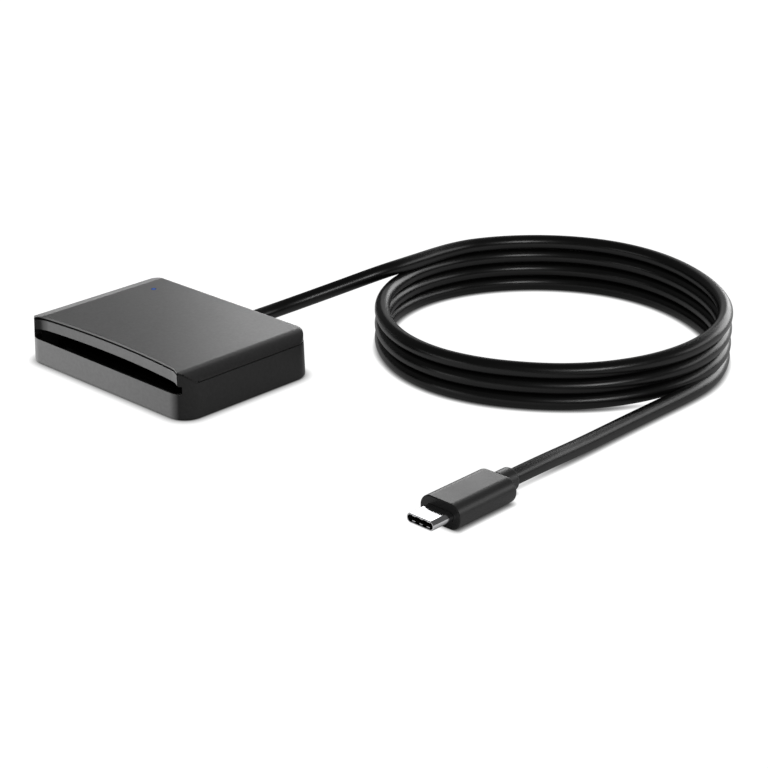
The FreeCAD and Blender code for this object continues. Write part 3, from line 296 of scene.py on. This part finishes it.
caseShell = easedCopy("bottom_case", "case_shell", caseEdge, finishes["case"])
coverShell = easedCopy("top_cover", "cover_shell", coverEdge, finishes["cover"])
lipStrip = easedCopy("slot_lip", "lip_strip", lipEdge, finishes["lip"])
plugMoulding = easedCopy("plug_overmold", "plug_moulding", plugEdge, finishes["plug"])
plugShell = easedCopy("plug_shell", "plug_sleeve", plugEdge, finishes["shell"])
glandBoot = easedCopy("cable_gland", "gland_boot", plugEdge, finishes["rubber"])

# the lip's faces which look up or down, into the seam under the cover and into the slot, take the
# dark slot plastic as painted shade, so that seam and slot read dark
shadedFacingFrom = 0.7
lipStrip.data.materials.append(finishes["inside"])
for face in lipStrip.data.polygons:
    if abs(face.normal.z) > shadedFacingFrom:
        face.material_index = 1

# pieces carried over as the solids give them
nodeFinishes = {
    "card_frame": "inside", "plug_insulator": "inside", "card_switch": "epoxy",
    "controller_chip": "epoxy", "circuit_board": "board", "board_capacitors": "ceramic",
    "cable_header": "nylon", "cable_wires": "wire", "status_led": "resin", "rubber_feet": "rubber",
    "plug_ground_springs": "shell", "plug_latches": "shell", "board_screws": "oxide",
    "case_screws": "zinc", "clock_crystal": "zinc", "card_contacts": "gold",
    "plug_contacts": "gold",
}
for nodeName, finish in nodeFinishes.items():
    dress(frame["nodes"][nodeName], finishes[finish])
print("dressed", len(nodeFinishes), "pieces as they are")

# cable: one line from the gland round the coil to the plug, in metres as the solids lie
cable = {
    "diameter": 0.0042,
    "reader": [(0.0, 0.0282, 0.0055), (0.0, 0.03626, 0.0055), (0.00242, 0.04498, 0.00675),
               (0.00855, 0.05586, 0.01001), (0.01583, 0.06662, 0.01396), (0.0182, 0.07534, 0.0149)],
    "coilCentre": (0.06507, 0.08325),
    "coilRadius": 0.04655,
    # the coil isn't quite round: waves round it, their depth, and their place in degrees
    "ovals": [(2, 0.0013, 9.1), (3, 0.00085, 10.2), (4, 0.0007, 4.9)],
    "strandPitch": 0.00425,
    "topStrand": 3,
    "pointsPerTurn": 24,
    "dropFrom": 34.0,           # degrees round the coil where a turn sinks to the next level
    "dropTo": -49.0,
    "tailFrom": 30.0,           # degrees round the coil where the last turn opens into the tail
    "tail": [(0.11300, 0.09560, 0.00213), (0.11540, 0.08690, 0.00213), (0.11615, 0.07804, 0.00213)],
    "plug": [(0.11610, 0.06411, 0.00213), (0.11625, 0.0487, 0.00221), (0.11670, 0.0311, 0.0024),
             (0.1173, 0.01497, 0.00325), (0.1173, 0.0047, 0.00325)],
    "stepsAlong": 12,
    "stepsRound": 12,
    "length": 1.165,
}


def coilPoints(settings):
    step = 360.0 / settings["pointsPerTurn"]
    swell = 1 / math.cos(math.radians(step / 2))     # the line runs inside its control points
    pitch = settings["strandPitch"]
    centreX, centreY = settings["coilCentre"]
    total = 360.0 * settings["topStrand"] + 180.0 - settings["tailFrom"]
    points = []
    for index in range(1, int(total / step) + 1):
        turn, travelled = divmod(index * step, 360.0)
        angle = 180.0 - travelled                    # from 180 down to -180 in each turn
        share = (settings["dropFrom"] - angle) / (settings["dropFrom"] - settings["dropTo"])
        share = min(1.0, max(0.0, share))
        level = max(0.0, settings["topStrand"] - turn - share * share * (3 - 2 * share))
        radius = settings["coilRadius"]
        for waves, depth, place in settings["ovals"]:
            radius += depth * math.cos(math.radians(waves * (angle - place)))
        points.append((centreX + radius * swell * math.cos(math.radians(angle)),
                       centreY + radius * swell * math.sin(math.radians(angle)),
                       (level + 0.5) * pitch))
    return points


cablePoints = cable["reader"] + coilPoints(cable) + cable["tail"] + cable["plug"]
cableCurve = bpy.data.curves.new("cable_line", "CURVE")
cableCurve.dimensions = "3D"
spline = cableCurve.splines.new("NURBS")
spline.points.add(len(cablePoints) - 1)
for point, place in zip(spline.points, cablePoints):
    point.co = (*place, 1.0)
spline.order_u = 3
spline.use_endpoint_u = True
cableCurve.resolution_u = cable["stepsAlong"]
cableCurve.bevel_depth = cable["diameter"] / 2
cableCurve.bevel_resolution = cable["stepsRound"]
cableCurve.use_fill_caps = True
cablePiece = bpy.data.objects.new("cable", cableCurve)
bpy.context.scene.collection.objects.link(cablePiece)
dress(cablePiece, finishes["jacket"])
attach(cablePiece, "root")
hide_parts("cable_reader_run", "cable_coil", "cable_plug_run")
print("cable", len(cablePoints), "points")

# status light: the lit end of the clear acrylic pipe, palest over its lamp
statusLight = {"middle": (-0.0222, 0.0141, 0.0132), "reach": 0.0009, "pale": "#2f6bd0",
               "deep": "#0f2f80", "paleTo": 0.15, "deepFrom": 0.75, "glow": 0.5, "hazeMm": 0.2,
               "clearest": 0.3, "haziest": 0.5, "shine": 0.06}
lightMaterial, lightTree, lightShader = newMaterial("clear_acrylic_light")
lightPlace = addNode(lightTree, "TexCoord").outputs["Object"]
away = addNode(lightTree, "VectorMath", {"operation": "DISTANCE", 1: statusLight["middle"]},
               {0: lightPlace})
outward = addNode(lightTree, "MapRange", {"From Max": statusLight["reach"]},
                  {"Value": away.outputs["Value"]})
lightTone = twoTone(lightTree, outward.outputs["Result"], statusLight["pale"], statusLight["deep"],
                    statusLight["paleTo"], statusLight["deepFrom"])
lightTree.links.new(lightTone, lightShader.inputs["Base Color"])
lightTree.links.new(lightTone, lightShader.inputs["Emission Color"])
lightShader.inputs["Emission Strength"].default_value = statusLight["glow"]
haze = addNode(lightTree, "TexNoise", {"Scale": grainScale(statusLight["hazeMm"]), "Detail": 2.0},
               {"Vector": lightPlace})
frost = addNode(lightTree, "MapRange", {"To Min": statusLight["clearest"],
                                        "To Max": statusLight["haziest"]},
                {"Value": haze.outputs["Fac"]})
lightTree.links.new(frost.outputs["Result"], lightShader.inputs["Roughness"])
lightShader.inputs["Specular IOR Level"].default_value = statusLight["shine"]
dress(frame["nodes"]["light_pipe"], lightMaterial)
print("status light dressed")

# white paper: its own white to the camera and in reflections, with a painted shadow close round the
# object that darkens its white
backdrop = {
    "size": 8.0,
    "floorColour": "#9c9c9c",
    "roughness": 0.9,
    "mirrored": 0.65,           # share of its white that reflections show
    "housingReach": 0.048,      # from the middle of the housing to where only cable lies
    "reachBlend": 0.01,
    "contact": 0.0026,          # reach of the painted shadow round the housing, then round the cable
    "contactCable": 0.0014,
    "contactSeen": 0.025,       # reach of the painted shadow in reflections
    "shadowPower": 1.4,
    "worldLight": 0.11,
}
bpy.ops.object.select_all(action="DESELECT")
bpy.ops.mesh.primitive_plane_add(size=backdrop["size"], location=(0, 0, 0))
floor = bpy.context.active_object
floor.name = "floor"
floorMaterial, floorTree, floorShader = newMaterial("white_paper")
floorShader.inputs["Base Color"].default_value = hexColour(backdrop["floorColour"])
floorShader.inputs["Roughness"].default_value = backdrop["roughness"]
floorShader.inputs["Specular IOR Level"].default_value = 0.0
floorShader.inputs["Emission Color"].default_value = (1, 1, 1, 1)
rays = addNode(floorTree, "LightPath")
mirrored = addNode(floorTree, "Math", {"operation": "MAXIMUM"},
                   {0: rays.outputs["Is Glossy Ray"], 1: rays.outputs["Is Transmission Ray"]})
dimmer = addNode(floorTree, "Math", {"operation": "MULTIPLY", 1: backdrop["mirrored"]},
                 {0: mirrored.outputs[0]})
seen = addNode(floorTree, "Math", {"operation": "MAXIMUM"},
               {0: rays.outputs["Is Camera Ray"], 1: dimmer.outputs[0]})
floorPlace = addNode(floorTree, "TexCoord").outputs["Object"]
fromMiddle = addNode(floorTree, "VectorMath", {"operation": "LENGTH"}, {0: floorPlace})
close = addNode(floorTree, "MapRange",
                {"From Min": backdrop["housingReach"],
                 "From Max": backdrop["housingReach"] + backdrop["reachBlend"],
                 "To Min": backdrop["contact"], "To Max": backdrop["contactCable"]},
                {"Value": fromMiddle.outputs["Value"]})
reach = addNode(floorTree, "MapRange", {"To Max": backdrop["contactSeen"]},
                {"Value": rays.outputs["Is Glossy Ray"], "To Min": close.outputs["Result"]})
# painted shadow: the paper's white is darkened where the object hems it in, wider round the housing
# than round the cable
contact = addNode(floorTree, "AmbientOcclusion", None, {"Distance": reach.outputs["Result"]})
shadowPower = addNode(floorTree, "Math", {"operation": "POWER", 1: backdrop["shadowPower"]},
               {0: contact.outputs["AO"]})
glow = addNode(floorTree, "Math", {"operation": "MULTIPLY"},
               {0: seen.outputs[0], 1: shadowPower.outputs[0]})
floorTree.links.new(glow.outputs[0], floorShader.inputs["Emission Strength"])
dress(floor, floorMaterial)

world = bpy.data.worlds.new("studio")
bpy.context.scene.world = world
world.use_nodes = True
sky = world.node_tree.nodes["Background"]
sky.inputs["Color"].default_value = (1, 1, 1, 1)
sky.inputs["Strength"].default_value = backdrop["worldLight"]
print("floor and world ready")

# what each group of lamps lights, the last one all but the piece that it names
lit = {"housing": [caseShell, coverShell, lipStrip, glandBoot], "cable": [cablePiece],
       "cableAndPlug": [cablePiece, plugMoulding], "notCable": [cablePiece]}
for name, pieces in lit.items():
    group = bpy.data.collections.new("lit_" + name)
    for piece in pieces:
        group.objects.link(piece)
    if name == "notCable":
        group.collection_objects[0].light_linking.link_state = "EXCLUDE"
    lit[name] = group


# puts a lamp or the camera at a place, turned towards its aim
def placeAimed(name, data, place, aim):
    holder = bpy.data.objects.new(name, data)
    holder.location = place
    holder.rotation_mode = "QUATERNION"
    holder.rotation_quaternion = (Vector(aim) - Vector(place)).to_track_quat("-Z", "Y")
    bpy.context.scene.collection.objects.link(holder)
    return holder


# a narrow lamp and wide ones for the housing, one for all but the cable, and the cable's own
lamps = {
    "left": {"place": (-1.236, -0.714, 0.09), "aim": (0.0, 0.0, 0.006), "watts": 188.0,
             "cone": 6.0, "blend": 0.4, "soft": 0.05, "only": "housing"},
    "behindLeft": {"place": (-0.562, 0.90, 0.38), "aim": (0.03, 0.03, 0.0), "watts": 3.7,
                   "size": (0.6, 0.5), "only": "notCable"},
    "cableBehind": {"place": (-0.562, 0.90, 0.38), "aim": (0.03, 0.03, 0.0), "watts": 0.5,
                    "size": (0.6, 0.5), "only": "cable"},
    "lowLeft": {"place": (-0.80, 0.70, 0.15), "aim": (0.0, 0.0, 0.0), "watts": 0.6,
                "size": (0.5, 0.14), "only": "housing"},
    "above": {"place": (-0.42, 0.80, 0.95), "aim": (0.0, 0.0, 0.0), "watts": 1.9,
              "size": (0.8, 0.5), "only": "housing"},
    "right": {"place": (0.95, 0.10, 0.42), "aim": (0.0, 0.0, 0.0), "watts": 0.6,
              "size": (0.6, 0.6), "only": "housing"},
    "cableBack": {"place": (0.10, 1.14, 0.36), "aim": (0.065, 0.083, 0.0), "watts": 9.0,
                  "size": (1.0, 0.6), "only": "cable"},
    "cableRight": {"place": (0.845, 0.738, 0.43), "aim": (0.065, 0.083, 0.0), "watts": 2.3,
                   "size": (0.7, 0.4), "only": "cableAndPlug"},
    "cableFront": {"place": (0.885, -0.42, 0.52), "aim": (0.02, 0.06, 0.0), "watts": 3.0,
                   "size": (0.25, 0.25), "only": "cable"},
    "cableLeft": {"place": (-0.355, -0.817, 0.08), "aim": (0.065, 0.083, 0.0), "watts": 0.6,
                  "size": (0.6, 0.14), "only": "cable"},
}
for name, lamp in lamps.items():
    light = bpy.data.lights.new(name, "SPOT" if "cone" in lamp else "AREA")
    light.energy = lamp["watts"]
    if "cone" in lamp:
        light.spot_size = math.radians(lamp["cone"])
        light.spot_blend = lamp["blend"]
        light.shadow_soft_size = lamp["soft"]
    else:
        light.shape = "RECTANGLE"
        light.size, light.size_y = lamp["size"]
    holder = placeAimed(name, light, lamp["place"], lamp["aim"])
    holder.light_linking.receiver_collection = lit[lamp["only"]]

# camera as the photograph was taken
camera = {"place": (0.38622, -0.32189, 0.20399), "aim": (0.05076, 0.03138, 0.0), "lens": 92.95,
          "sensor": 36.0}
lens = bpy.data.cameras.new("photo_camera")
lens.lens = camera["lens"]
lens.sensor_width = camera["sensor"]
bpy.context.scene.camera = placeAimed("photo_camera", lens, camera["place"], camera["aim"])
bpy.context.scene.view_settings.view_transform = "Standard"
print("stage ready")
